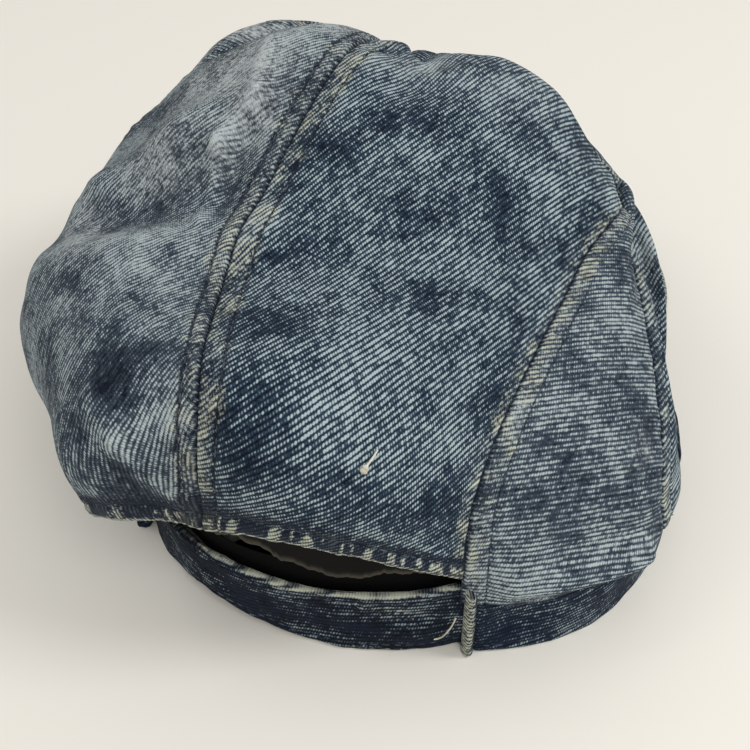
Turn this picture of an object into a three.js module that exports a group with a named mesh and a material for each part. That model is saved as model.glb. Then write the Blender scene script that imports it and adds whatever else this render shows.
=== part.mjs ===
// A floppy newsboy cap in washed denim: eight gores gathered to a covered button, a head band with a
// rolled end on each side of a back opening, a strap across that opening and a short peak.
// Millimetres, +Z up. The origin is the middle of the head opening, on the surface the cap rests on.
// The peak points to -Y, the back opening to +Y, and the wearer's left is +X.

import * as THREE from "three";

const DEGREES = Math.PI / 180;

// Cloth and band sizes.
const CLOTH = 1.6; // thickness of a gore with its seam allowance
const GORE_LENGTH = 205; // cloth from the rim to the button
const GORE_WIDTH = 80; // cloth across a gore where it is widest, near enough
const SEAM_GAP = 0.4; // between two gores, at their outer faces
const SEAM_MITRE = 0.3; // how much further the inner face of a gore stands back from its seam
const SEAT_GAP = 0.3; // between pieces that bear on each other
const BAND_HEIGHT = 20; // head band, up to the lower edge of the gores
const BAND_THICKNESS = 2.5;
const ROLL_EXTRA = 1.3; // how much the rolled end of the band stands out
const ROLL_LENGTH = 7; // along the band
const BAND_ENDS = { right: 2.02, left: 8.52 }; // in gores round the cap, see SEAMS

// Strap across the opening. Its ends lie inside the band's ends.
const STRAP_HEIGHT = 19;
const STRAP_THICKNESS = 2.4;
const STRAP_INSET = BAND_THICKNESS + 0.5; // its outer face, inside the rim line
const STRAP_ENDS = { left: 0.36, right: 2.2 };

// Peak: its middle and half width in gores round the cap, and how far it reaches at its middle and at
// its sides. Its sides come down to the surface and its front edge stands off it.
const PEAK = {
  middle: 5.5,
  halfWidth: 1.04,
  reach: 55,
  sideReach: 3,
  roundness: 0.8,
  thickness: 3.2,
  seatHeight: 10,
  frontLift: 7,
};

// Covered button over the point where the gores meet.
const BUTTON = { radius: 8, height: 4.5, shank: 2.6, lift: 5.6 };
const GORE_TIP = 0.965; // share of its length at which a gore ends, under the button
const BUTTON_SLOPE_AT = 0.93; // the button sits square to the cloth at this share of its length

// Where the stations lie along a seam, as a share of its length.
const STATION_AT = { rim: 0, belly: 0.12, shoulder: 0.41, crest: 0.68, button: 1 };
const STATIONS = Object.keys(STATION_AT);

// The seams, counted round the cap from the left side to the back and the right side. Each row says
// where its seam runs: azimuth in degrees, radius and height at each station. The crown flops to the
// left and forward, so the upper stations drift towards the front.
const SEAMS = Object.values({
  left_back: { rim: [22.5, 84], belly: [22, 104, 44], shoulder: [357, 96, 68], crest: [335, 82, 95] },
  back_left: { rim: [71, 87.5], belly: [75, 92, 70], shoulder: [44.5, 50.5, 85.5], crest: [312, 46, 107] },
  back_right: { rim: [115, 80.5], belly: [117, 74, 47], shoulder: [187.5, 42, 68], crest: [229, 70.5, 70] },
  right_back: { rim: [157.5, 81.5], belly: [160, 80, 31], shoulder: [203, 61, 57], crest: [246, 74, 63] },
  right_front: { rim: [202.5, 75], belly: [204, 69, 39], shoulder: [225, 76, 57], crest: [258, 89, 62] },
  front_right: { rim: [247.5, 82], belly: [250, 105, 22], shoulder: [258, 119, 42], crest: [270, 112, 67] },
  front_left: { rim: [292.5, 84], belly: [292.5, 110, 22], shoulder: [291, 130, 46], crest: [289, 108, 71] },
  left_front: { rim: [337.5, 83.5], belly: [336, 105, 32], shoulder: [323, 105, 58], crest: [316, 91, 96] },
});
const BUTTON_SEAT = [286, 72, 80];

// The gores between one seam and the next, and how far the middle of each stands out at the stations.
const GORES = [
  { name: "crown_back_left", colour: 0x53657c, rim: 2, belly: 8, shoulder: 6.5, crest: 3 },
  { name: "crown_back_center", colour: 0x47586f, rim: -1, belly: 6, shoulder: 6, crest: 10.5 },
  { name: "crown_back_right", colour: 0x4c5e74, rim: 3.5, belly: 1.5, shoulder: 1.5, crest: -3 },
  { name: "crown_side_right", colour: 0x506279, rim: 1, belly: 1, shoulder: 2, crest: 0.5 },
  { name: "crown_front_right", colour: 0x4a5b71, rim: 1, belly: -1, shoulder: 0, crest: 3 },
  { name: "crown_front_center", colour: 0x4f6077, rim: 1, belly: 4, shoulder: 4, crest: 2 },
  { name: "crown_front_left", colour: 0x4c5d73, rim: 1, belly: 5, shoulder: 4, crest: 2 },
  { name: "crown_side_left", colour: 0x52637a, rim: 1, belly: 4, shoulder: -3, crest: 1.5 },
];

// Folds and dents, each along a straight line on the cloth. Its two ends are given in gores round the
// cap and share of the gore's length. A positive height is a ridge and a negative one a valley.
const FOLDS = [
  { fold: "left_crest", from: [0.3, 0.36], to: [0.62, 0.505], width: 9, height: 4 },
  { fold: "left_crest_turn", from: [0.62, 0.505], to: [0.78, 0.56], width: 8, height: 3 },
  { fold: "left_ridge", from: [0.78, 0.6], to: [0.72, 0.82], width: 9, height: 3 },
  { fold: "left_valley", from: [0.5, 0.36], to: [0.7, 0.465], width: 9, height: -5 },
  { fold: "left_wedge", from: [0.72, 0.47], to: [0.87, 0.525], width: 8, height: -5 },
  { fold: "left_shoulder", from: [0.35, 0.26], to: [1, 0.42], width: 9, height: 4 },
  { fold: "left_flare", from: [0.72, 0], to: [0.72, 0.1], width: 13, height: 12 },
  { fold: "ridge_dent", from: [1.12, 0.72], to: [1.25, 0.64], width: 8, height: -7 },
  { fold: "right_overhang", from: [2.2, 0.03], to: [2.95, 0.03], width: 6, height: 4 },
  { fold: "right_side_gather", from: [3.55, 0.08], to: [3.4, 0.4], width: 11, height: -3 },
  { fold: "front_right_gather", from: [4.5, 0.12], to: [4.5, 0.6], width: 12, height: -3 },
  { fold: "front_left_gather", from: [6.45, 0.16], to: [6.4, 0.7], width: 13, height: -4 },
  { fold: "left_side_gather", from: [7.5, 0.1], to: [7.6, 0.45], width: 12, height: -4 },
];

// How much cloth the back opening takes off the lower edge, as a share of the gore's length.
const OPENING_CUT = [
  { at: 0.58, cut: 0 },
  { at: 0.64, cut: 0.034 },
  { at: 0.72, cut: 0.065 },
  { at: 0.82, cut: 0.061 },
  { at: 1, cut: 0.047 },
  { at: 1.2, cut: 0.064 },
  { at: 1.4, cut: 0.073 },
  { at: 1.6, cut: 0.068 },
  { at: 1.8, cut: 0.052 },
  { at: 2, cut: 0.034 },
];
const HEM_ZONE = 0.1; // the opening's edge lies below this share of the length

function polar(azimuth, radius, height) {
  const turn = azimuth * DEGREES;
  return new THREE.Vector3(radius * Math.cos(turn), radius * Math.sin(turn), height);
}

// The value at x on the line through rows that hold a place and a value.
function onLine(rows, place, value, x) {
  let lower = rows[0];
  for (const upper of rows) {
    if (x <= upper[place]) {
      if (upper === lower) return upper[value];
      const share = (x - lower[place]) / (upper[place] - lower[place]);
      return lower[value] + share * (upper[value] - lower[value]);
    }
    lower = upper;
  }
  return lower[value];
}

// A smooth curve through points at uneven places, with its slope at each point worked out once.
function smoothCurve(places, points) {
  const last = points.length - 1;
  const rate = (i) => points[i + 1].clone().sub(points[i]).divideScalar(places[i + 1] - places[i]);
  const slopes = points.map((point, i) => {
    if (i === 0) return rate(0);
    if (i === last) return rate(last - 1);
    const before = places[i] - places[i - 1];
    const after = places[i + 1] - places[i];
    return rate(i - 1).multiplyScalar(after).addScaledVector(rate(i), before).divideScalar(before + after);
  });
  return (at) => {
    let i = 0;
    while (i < last - 1 && at > places[i + 1]) i += 1;
    const span = places[i + 1] - places[i];
    const x = (at - places[i]) / span;
    return new THREE.Vector3()
      .addScaledVector(points[i], 1 - 3 * x ** 2 + 2 * x ** 3)
      .addScaledVector(slopes[i], span * (x - 2 * x ** 2 + x ** 3))
      .addScaledVector(points[i + 1], 3 * x ** 2 - 2 * x ** 3)
      .addScaledVector(slopes[i + 1], span * (x ** 3 - x ** 2));
  };
}

const seamCurves = SEAMS.map((row) => {
  const stations = { ...row, rim: [...row.rim, BAND_HEIGHT], button: BUTTON_SEAT };
  return smoothCurve(Object.values(STATION_AT), STATIONS.map((station) => polar(...stations[station])));
});

// The plain cloth surface: a closed curve round the cap through the eight seams at one share of length.
function clothPoint(around, along) {
  const first = Math.floor(around);
  const x = around - first;
  const seam = (step) => seamCurves[(first + step + SEAMS.length) % SEAMS.length](along);
  return new THREE.Vector3()
    .addScaledVector(seam(-1), 0.5 * (-x + 2 * x ** 2 - x ** 3))
    .addScaledVector(seam(0), 0.5 * (2 - 5 * x ** 2 + 3 * x ** 3))
    .addScaledVector(seam(1), 0.5 * (x + 4 * x ** 2 - 3 * x ** 3))
    .addScaledVector(seam(2), 0.5 * (-(x ** 2) + x ** 3));
}

const SMALL_STEP = 0.001; // in gores round the cap, and in share of a gore's length

function clothNormal(around, along) {
  const round = clothPoint(around + SMALL_STEP, along).sub(clothPoint(around - SMALL_STEP, along));
  const low = Math.max(0, along - SMALL_STEP);
  const up = clothPoint(around, along + SMALL_STEP).sub(clothPoint(around, low));
  return round.cross(up).normalize();
}

const goreOf = (around) => GORES[Math.floor(around + GORES.length) % GORES.length];

// How far the middle of a gore stands out from the line between its seams.
function fullness(around, along) {
  const gore = goreOf(around);
  const rows = STATIONS.map((station) => ({ at: STATION_AT[station], out: gore[station] ?? 0 }));
  return onLine(rows, "at", "out", along) * Math.sin(Math.PI * (around - Math.floor(around)));
}

function foldHeight(around, along) {
  let height = 0;
  for (const fold of FOLDS) {
    const from = new THREE.Vector2(fold.from[0] * GORE_WIDTH, fold.from[1] * GORE_LENGTH);
    const line = new THREE.Vector2(fold.to[0] * GORE_WIDTH, fold.to[1] * GORE_LENGTH).sub(from);
    for (const turn of [-SEAMS.length, 0, SEAMS.length]) {
      const here = new THREE.Vector2((around + turn) * GORE_WIDTH, along * GORE_LENGTH).sub(from);
      const share = THREE.MathUtils.clamp(here.dot(line) / line.lengthSq(), 0, 1);
      const away = here.addScaledVector(line, -share).length() / fold.width;
      height += fold.height * Math.exp(-(away ** 2));
    }
  }
  return height;
}

// A point of the crown, a given depth under its outer face.
function crownPoint(around, along, depth) {
  const out = fullness(around, along) + foldHeight(around, along) - depth;
  return clothPoint(around, along).addScaledVector(clothNormal(around, along), out);
}

// The line that the head band and the lower edge of the gores share, moved inwards by an inset.
function rimPoint(around, height, inset) {
  const point = clothPoint(around, 0);
  const outward = clothPoint(around + SMALL_STEP, 0).sub(clothPoint(around - SMALL_STEP, 0));
  outward.set(outward.y, -outward.x, 0).normalize();
  return point.addScaledVector(outward, fullness(around, 0) - inset).setZ(height);
}

// A closed solid between two grids of points. pointAt(column, row, side) gives a point of the outer
// face for side 0 and of the inner face for side 1. Columns run anticlockwise, and rows run up.
function sheetSolid(columns, rows, pointAt) {
  const positions = [];
  const triangles = [];
  const sizeOfFace = (columns + 1) * (rows + 1);
  const index = (column, row, side) => side * sizeOfFace + row * (columns + 1) + column;
  const quad = (a, b, c, d) => triangles.push(a, b, c, a, c, d);
  for (const side of [0, 1]) {
    for (let row = 0; row <= rows; row += 1) {
      for (let column = 0; column <= columns; column += 1) positions.push(...pointAt(column, row, side));
    }
  }
  for (let row = 0; row < rows; row += 1) {
    for (let column = 0; column < columns; column += 1) {
      const face = (side) => [
        index(column, row, side),
        index(column + 1, row, side),
        index(column + 1, row + 1, side),
        index(column, row + 1, side),
      ];
      quad(...face(0));
      quad(...face(1).reverse());
    }
    const above = row + 1;
    quad(index(0, row, 1), index(0, row, 0), index(0, above, 0), index(0, above, 1));
    quad(index(columns, row, 1), index(columns, above, 1), index(columns, above, 0), index(columns, row, 0));
  }
  for (let column = 0; column < columns; column += 1) {
    const next = column + 1;
    quad(index(column, 0, 1), index(next, 0, 1), index(next, 0, 0), index(column, 0, 0));
    quad(index(column, rows, 0), index(next, rows, 0), index(next, rows, 1), index(column, rows, 1));
  }
  const geometry = new THREE.BufferGeometry();
  geometry.setAttribute("position", new THREE.Float32BufferAttribute(positions, 3));
  geometry.setIndex(triangles);
  geometry.computeVertexNormals();
  return geometry;
}

// The cloth rows of a gore: a few between its lower edge and the hem zone's top, then even steps.
const HEM_ROWS = [0, 0.36, 0.6, 0.8, 1];
const OPEN_HEM_ROWS = [0, 0.375, 0.6875, 1]; // the rows that are left where the opening's corner is cut
const BODY_ROWS = 16;
const GORE_COLUMNS = 8;

function goreGeometry(number) {
  const hemRows = number === 1 ? OPEN_HEM_ROWS : HEM_ROWS;
  const columnAt = (column) => number + column / GORE_COLUMNS;
  const alongAt = (column, row) => {
    if (row >= hemRows.length) {
      return HEM_ZONE + ((row - hemRows.length + 1) / BODY_ROWS) * (GORE_TIP - HEM_ZONE);
    }
    const cut = number < 2 ? onLine(OPENING_CUT, "at", "cut", columnAt(column)) : 0;
    return cut + hemRows[row] * (HEM_ZONE - cut);
  };
  return sheetSolid(GORE_COLUMNS, hemRows.length - 1 + BODY_ROWS, (column, row, side) => {
    const around = columnAt(column);
    const along = alongAt(column, row);
    const point = crownPoint(around, along, side * CLOTH);
    if (along === 0) point.setZ(BAND_HEIGHT);
    if (column === 0 || column === GORE_COLUMNS) {
      const step = column === 0 ? SMALL_STEP : -SMALL_STEP;
      const inwards = clothPoint(around + step, along).sub(clothPoint(around, along)).normalize();
      point.addScaledVector(inwards, SEAM_GAP / 2 + side * SEAM_MITRE);
    }
    return point;
  });
}

function bandGeometry() {
  const columns = 52;
  const length = (BAND_ENDS.left - BAND_ENDS.right) * GORE_WIDTH;
  return sheetSolid(columns, 2, (column, row, side) => {
    const share = column / columns;
    const around = THREE.MathUtils.lerp(BAND_ENDS.right, BAND_ENDS.left, share);
    const fromEnd = Math.min(share, 1 - share) * length;
    const roll = ROLL_EXTRA * Math.max(0, 1 - fromEnd / ROLL_LENGTH);
    return rimPoint(around, (row / 2) * (BAND_HEIGHT - SEAT_GAP), side === 0 ? -roll : BAND_THICKNESS);
  });
}

function strapGeometry() {
  const columns = 20;
  return sheetSolid(columns, 2, (column, row, side) => {
    const around = THREE.MathUtils.lerp(STRAP_ENDS.left, STRAP_ENDS.right, column / columns);
    return rimPoint(around, (row / 2) * STRAP_HEIGHT, STRAP_INSET + side * STRAP_THICKNESS);
  });
}

// The peak's rows run from its outer edge in to the band, so that its upper face is the outer one.
function peakGeometry() {
  const columns = 26;
  const rows = 4;
  return sheetSolid(columns, rows, (column, row, side) => {
    const sideways = (column / columns) * 2 - 1;
    const bow = Math.cos((sideways * Math.PI) / 2);
    const outwards = 1 - row / rows;
    const reach = outwards * (PEAK.sideReach + PEAK.reach * bow ** PEAK.roundness);
    const edge = PEAK.thickness + PEAK.frontLift * bow ** 2;
    const top = THREE.MathUtils.lerp(PEAK.seatHeight, edge, outwards ** PEAK.roundness);
    const around = PEAK.middle + sideways * PEAK.halfWidth;
    return rimPoint(around, top - side * PEAK.thickness, -SEAT_GAP - reach);
  });
}

function buttonGeometry() {
  const { radius, height, shank } = BUTTON;
  const profile = [
    [0, -shank],
    [radius * 0.5, -shank * 0.7],
    [radius * 0.95, 0],
    [radius, height * 0.2],
    [radius * 0.95, height * 0.5],
    [radius * 0.75, height * 0.8],
    [radius * 0.4, height * 0.97],
    [0, height],
  ];
  return new THREE.LatheGeometry(profile.map(([x, y]) => new THREE.Vector2(x, y)), 24);
}

function cloth(name, geometry, color) {
  const material = new THREE.MeshStandardMaterial({ color, roughness: 0.95, metalness: 0 });
  const mesh = new THREE.Mesh(geometry, material);
  mesh.name = name;
  return mesh;
}

function makeCrown() {
  const crown = new THREE.Group();
  GORES.forEach((gore, number) => crown.add(cloth(gore.name, goreGeometry(number), gore.colour)));
  return crown;
}

function makeButton() {
  const seat = polar(...BUTTON_SEAT);
  const axis = new THREE.Vector3();
  SEAMS.forEach((row, number) => axis.add(clothNormal(number, BUTTON_SLOPE_AT)));
  axis.normalize();
  const button = cloth("top_button", buttonGeometry(), 0x43546b);
  button.position.copy(seat.addScaledVector(axis, BUTTON.lift));
  button.quaternion.setFromUnitVectors(new THREE.Vector3(0, 1, 0), axis);
  return button;
}

const cap = new THREE.Group();
cap.name = "newsboy_cap";
cap.add(makeCrown());
cap.add(cloth("head_band", bandGeometry(), 0x33425a));
cap.add(cloth("back_strap", strapGeometry(), 0x2c3a52));
cap.add(cloth("peak", peakGeometry(), 0x44556c));
cap.add(makeButton());

export default cap;
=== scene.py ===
import math

import bpy
import numpy as np
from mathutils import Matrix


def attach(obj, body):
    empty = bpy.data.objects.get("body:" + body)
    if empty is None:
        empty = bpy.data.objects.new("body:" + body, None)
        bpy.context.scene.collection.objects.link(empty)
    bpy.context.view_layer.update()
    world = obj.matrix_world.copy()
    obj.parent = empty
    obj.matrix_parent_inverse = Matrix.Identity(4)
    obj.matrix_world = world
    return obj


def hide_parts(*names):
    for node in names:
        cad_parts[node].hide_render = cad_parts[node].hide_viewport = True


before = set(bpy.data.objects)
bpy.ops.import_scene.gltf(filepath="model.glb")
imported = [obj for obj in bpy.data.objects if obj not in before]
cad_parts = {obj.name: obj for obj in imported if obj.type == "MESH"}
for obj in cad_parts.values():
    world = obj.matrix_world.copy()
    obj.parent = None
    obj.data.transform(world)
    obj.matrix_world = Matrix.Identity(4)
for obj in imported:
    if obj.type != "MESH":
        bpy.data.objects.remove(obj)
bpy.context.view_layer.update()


# THE CROWN
# Eight gores of stone-washed denim twill, each cut on its own grain, seamed side to side and gathered
# to a covered button. The cloth is heavy and soft: the crown has slouched over to the wearer's left and
# lies in a few broad folds, painted lighter where they stand proud and with painted shade in the hollows.

MM = 0.001
CLOTH_THICKNESS = 1.6
GORE_LENGTH = 205.0
GORE_WIDTH = 80.0
BAND_HEIGHT = 20.0
GORE_TIP = 0.965  # share of its length at which a gore ends, under the button
STATION_AT = np.array([0, 0.12, 0.41, 0.68, 1.0])  # rim, belly, shoulder, crest and button, as that share

# Where each seam runs: azimuth in degrees, radius and height in millimetres at the rim, the belly, the
# shoulder and the crest, counted round the cap from the left side to the back and the right side. All the
# rows but front_right and front_left hold values that a search program found, from points read off the
# photograph, rounded and in places changed. So do the "out" values below of all the gores but
# crown_front_center and crown_front_left, and the heights of the folds left_crest and ridge_dent.
SEAMS = {
    "left_back": ((22.5, 84, 20), (22, 104, 44), (357, 96, 68), (335, 82, 95)),
    "back_left": ((71, 87.5, 20), (75, 92, 70), (44.5, 50.5, 85.5), (312, 46, 107)),
    "back_right": ((115, 80.5, 20), (117, 74, 47), (187.5, 42, 68), (229, 70.5, 70)),
    "right_back": ((157.5, 81.5, 20), (160, 80, 31), (203, 61, 57), (246, 74, 63)),
    "right_front": ((202.5, 75, 20), (204, 69, 39), (225, 76, 57), (258, 89, 62)),
    "front_right": ((247.5, 82, 20), (250, 105, 22), (258, 119, 42), (270, 112, 67)),
    "front_left": ((292.5, 84, 20), (292.5, 110, 22), (291, 130, 46), (289, 108, 71)),
    "left_front": ((337.5, 83.5, 20), (336, 105, 32), (323, 105, 58), (316, 91, 96)),
}
BUTTON_SEAT = (286, 72, 80)

# Each gore: how far its middle stands out at the rim, belly, shoulder, crest and button, the lean of its
# twill lines from straight across the gore, how tightly they lie there, how far the wash has felted it all
# over, and how many columns of faces carry it.
GORE_COLUMNS = ("out", "lean", "tight", "felted", "columns")
GORES = {
    "crown_back_left": ((2, 8, 6.5, 3, 0), 76, 1.28, 0.5, 96),
    "crown_back_center": ((-1, 6, 6, 10.5, 0), 59, 1.04, 0.15, 100),
    "crown_back_right": ((3.5, 1.5, 1.5, -3, 0), 25, 1.04, 0.5, 96),
    "crown_side_right": ((1, 1, 2, 0.5, 0), 35, 1.0, 0.3, 64),
    "crown_front_right": ((1, -1, 0, 3, 0), 48, 1.0, 0.3, 56),
    "crown_front_center": ((1, 4, 4, 2, 0), 59, 1.0, 0.2, 56),
    "crown_front_left": ((1, 5, 4, 2, 0), 59, 1.0, 0.3, 56),
    "crown_side_left": ((1, 4, -3, 1.5, 0), 64, 1.1, 0.4, 80),
}
GORES = {name: dict(zip(GORE_COLUMNS, row)) for name, row in GORES.items()}

# Broad folds: a line on the cloth in gores round the cap and share of a gore's length, its width and
# height in millimetres, and how much lighter it paints the cloth (above 0) or how much painted shade it
# lays in its hollow (below 0).
FOLDS = {
    "left_crest": ((0.3, 0.36), (0.62, 0.505), 9, 4, 0.5),
    "left_crest_turn": ((0.62, 0.505), (0.78, 0.56), 8, 3, 0.2),
    "left_ridge": ((0.78, 0.62), (0.74, 0.82), 13, 1.6, 0.2),
    "left_valley": ((0.5, 0.36), (0.7, 0.465), 9, -2.5, -0.5),
    "left_wedge": ((0.845, 0.525), (0.85, 0.455), 4.5, -3, -0.5),
    "left_crease_top": ((0.68, 0.655), (0.83, 0.565), 3, 1.6, 0.7),
    "left_crease_middle": ((0.83, 0.565), (0.785, 0.51), 2.6, 2.0, 0.8),
    "left_crease_foot": ((0.785, 0.51), (0.855, 0.425), 2.4, 1.8, 0.5),
    "left_shoulder": ((0.35, 0.26), (1, 0.42), 9, 4, 0.5),
    "left_flare": ((0.72, 0), (0.72, 0.1), 13, 12, 0),
    "left_hem_crease_high": ((0.74, 0.162), (0.83, 0.138), 2.4, 1.5, 0.7),
    "left_hem_crease_low": ((0.83, 0.138), (0.94, 0.08), 2.2, 1.6, 0.6),
    "ridge_dent": ((1.12, 0.72), (1.25, 0.64), 8, -5, -0.3),
    "top_notch": ((1.16, 0.86), (1.265, 0.69), 3.6, -4.5, 0.9),
    "top_dip": ((1.23, 0.775), (1.31, 0.755), 6, -1.8, 0),
    "top_hump": ((1.47, 0.735), (1.57, 0.7), 7, 2.3, 0.2),
    "left_bulge": ((0.08, 0.5), (0.36, 0.42), 10, 2.6, 0.2),
    "left_far_hollow": ((7.66, 0.63), (7.9, 0.59), 9, -2.2, 0),
    "right_crest_hollow": ((1.78, 0.645), (1.97, 0.615), 7, -1.6, 0),
    "right_brow_hollow": ((1.84, 0.7), (2.22, 0.61), 11, -4.2, 0),
    "right_overhang": ((2.2, 0.03), (2.8, 0.03), 6, 3.6, 0.4),
    "right_side_gather": ((3.55, 0.08), (3.35, 0.4), 11, -4.4, 0),
    "front_right_hollow": ((4.7, 0.47), (3.8, 0.34), 12, -3, 0),
    "front_right_gather": ((4.5, 0.12), (4.5, 0.6), 12, -3, -0.1),
    "front_left_gather": ((6.45, 0.16), (6.4, 0.7), 13, -4, -0.4),
    "left_side_gather": ((7.5, 0.1), (7.6, 0.45), 12, -4, -0.4),
}

# Patches of lighter and darker cloth, part wash tone and part painted light and shade: a place in gores
# round the cap and share of the length, its radius in millimetres, how much lighter it makes the cloth
# (below 0, darker), and how much it felted the twill.
PATCHES = (
    (0.79, 0.172, 6, -0.9, 0),
    (0.90, 0.16, 8, 0.4, 0),
    (0.86, 0.09, 6, -0.9, 0),
    (0.55, 0.62, 30, 0.2, 0.98),
    (0.60, 0.48, 22, 0, 0.9),
    (0.45, 0.33, 20, 0, 0.85),
    (0.70, 0.35, 14, 0.2, 0.6),
    (0.55, 0.22, 17, 0, 0.6),
    (0.85, 0.64, 8, -0.2, 0.6),
    (1.21, 0.24, 8, -0.45, 0),
    (1.07, 0.65, 8, 0.6, 0.4),
    (1.19, 0.62, 8, 0.4, 0.2),
    (1.08, 0.44, 7, 0.7, 0.2),
    (1.92, 0.57, 8, 0.6, 0.3),
    (1.75, 0.61, 14, 0.4, 0.3),
    (1.95, 0.32, 7, 0.5, 0.1),
    (2.25, 0.13, 9, 0.1, 0),
    (0.70, 0.29, 10, 0.4, 0),
    (1.53, 0.43, 7, -0.25, 0),
    (1.75, 0.21, 7, -0.25, 0),
    (1.07, 0.37, 6, -0.3, 0),
    (0.76, 0.22, 8, -0.15, 0),
    (0.72, 0.12, 10, -0.4, 0),
    (1.13, 0.17, 9, -0.7, 0),
    (1.34, 0.23, 14, 0.3, 0),
    (1.50, 0.28, 12, 0.5, 0),
    (1.57, 0.22, 10, 0.3, 0),
    (1.88, 0.12, 8, -0.5, 0),
    (1.31, 0.57, 8, -0.4, 0),
    (1.25, 0.70, 14, 0.2, 0.6),
    (0.80, 0.75, 24, 0.3, 0.98),
    (0.74, 0.60, 17, 0, 0.97),
    (0.86, 0.53, 9, 0, 0.8),
    (0.83, 0.56, 13, 0, 0.97),
    (0.80, 0.50, 10, 0, 0.9),
    (1.50, 0.70, 24, 0, 0.4),
    (1.05, 0.76, 9, 0.5, 0.7),
    (1.50, 0.66, 20, 0, 0.3),
    (0.82, 0.30, 12, 0, 0.4),
    (0.85, 0.20, 16, -0.2, 0.3),
    (3.03, 0.47, 14, 0.5, 0.8),
    (3.25, 0.36, 14, 0.4, 0.8),
    (2.80, 0.40, 14, 0, 0.75),
    (2.75, 0.20, 16, -0.1, 0.75),
    (2.40, 0.24, 18, -0.35, 0.5),
    (2.97, 0.37, 6, 0.3, 0.3),
    (2.94, 0.27, 5, 0.5, 0.2),
    (2.82, 0.19, 5, 0.4, 0),
    (2.36, 0.09, 9, 0, 0),
    (3.45, 0.40, 20, 0.2, 0.6),
    (4.30, 0.35, 18, -0.2, 0.3),
    (5.50, 0.45, 24, 0.3, 0.4),
    (6.60, 0.40, 20, 0.2, 0.6),
    (7.40, 0.72, 30, 0.5, 0.97),
    (7.60, 0.25, 20, -0.2, 0.4),
    (7.70, 0.55, 18, 0.3, 0.9),
    (7.85, 0.62, 18, 0.5, 0.97),
)

# On the wearer's right the crown's lower edge sags over the band: how far, by gores round the cap.
SAG_AT = (2.05, 2.3, 2.5, 2.7, 2.9, 3.05, 3.25, 3.5)
SAG = (0, 1.0, 2.2, 3.4, 5.0, 5.5, 4.0, 0)
SAG_MIDDLE = 0.038  # share of the length at which it sags most
SAG_SPREAD = 0.03
SAG_START = 0.012  # below this share the edge stays on the band
SAG_OUTWARDS = 0.5  # how far the sagging cloth stands out, as a share of the sag

# The back opening takes this share of the length off the lower edge, by gores round the cap. A program
# measured these shares from the hem as read off the photograph.
OPENING_AT = (0.58, 0.64, 0.72, 0.82, 1, 1.2, 1.4, 1.6, 1.8, 2)
OPENING_CUT = (0, 0.034, 0.065, 0.061, 0.047, 0.064, 0.073, 0.068, 0.052, 0.034)
OPENED_GORES = ("crown_back_left", "crown_back_center")


def polar(azimuth, radius, height):
    """A point round the upright axis, from degrees and millimetres."""
    turn = math.radians(azimuth)
    return (radius * math.cos(turn), radius * math.sin(turn), height)


stations = np.array([[polar(*place) for place in row] + [polar(*BUTTON_SEAT)] for row in SEAMS.values()])
steps = np.diff(STATION_AT)
rates = np.diff(stations, axis=1) / steps[None, :, None]
slopes = np.zeros_like(stations)
slopes[:, 0] = rates[:, 0]
slopes[:, -1] = rates[:, -1]
for i in range(1, len(steps)):
    slopes[:, i] = (rates[:, i - 1] * steps[i] + rates[:, i] * steps[i - 1]) / (steps[i - 1] + steps[i])


def seam_point(number, along):
    """A point of a seam at a share of its length."""
    i = np.clip(np.searchsorted(STATION_AT, along, side="left") - 1, 0, len(steps) - 1)
    span = (STATION_AT[i + 1] - STATION_AT[i])[..., None]
    x = (along - STATION_AT[i])[..., None] / span
    k = number % len(SEAMS)
    return (
        stations[k, i] * (1 - 3 * x**2 + 2 * x**3)
        + slopes[k, i] * span * (x - 2 * x**2 + x**3)
        + stations[k, i + 1] * (3 * x**2 - 2 * x**3)
        + slopes[k, i + 1] * span * (x**3 - x**2)
    )


def cloth_point(around, along):
    """The plain cloth surface through the eight seams."""
    first = np.floor(around).astype(int)
    x = (around - first)[..., None]
    return (
        seam_point(first - 1, along) * 0.5 * (-x + 2 * x**2 - x**3)
        + seam_point(first, along) * 0.5 * (2 - 5 * x**2 + 3 * x**3)
        + seam_point(first + 1, along) * 0.5 * (x + 4 * x**2 - 3 * x**3)
        + seam_point(first + 2, along) * 0.5 * (-(x**2) + x**3)
    )


def cloth_normal(around, along, step=0.001):
    across = cloth_point(around + step, along) - cloth_point(around - step, along)
    up = cloth_point(around, along + step) - cloth_point(around, np.maximum(0, along - step))
    normal = np.cross(across, up)
    return normal / np.linalg.norm(normal, axis=-1, keepdims=True)


def stands_out(around, along):
    """How far the middle of a gore stands out from the line between its seams."""
    number = np.floor(around).astype(int) % len(GORES)
    out = np.zeros(np.shape(around))
    for k, gore in enumerate(GORES.values()):
        out = np.where(number == k, np.interp(along, STATION_AT, gore["out"]), out)
    return out * np.sin(np.pi * (around - np.floor(around)))


def fold_reach(around, along, start, end, width):
    """How strongly a fold is felt at a place, from 0 to 1."""
    reach = np.zeros(np.shape(around))
    first = np.array([start[0] * GORE_WIDTH, start[1] * GORE_LENGTH])
    line = np.array([end[0] * GORE_WIDTH, end[1] * GORE_LENGTH]) - first
    for turn in (-len(GORES), 0, len(GORES)):
        x = (around + turn) * GORE_WIDTH - first[0]
        y = along * GORE_LENGTH - first[1]
        share = np.clip((x * line[0] + y * line[1]) / (line @ line), 0, 1)
        away = np.hypot(x - share * line[0], y - share * line[1]) / width
        reach = np.maximum(reach, np.exp(-(away**2)))
    return reach


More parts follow.
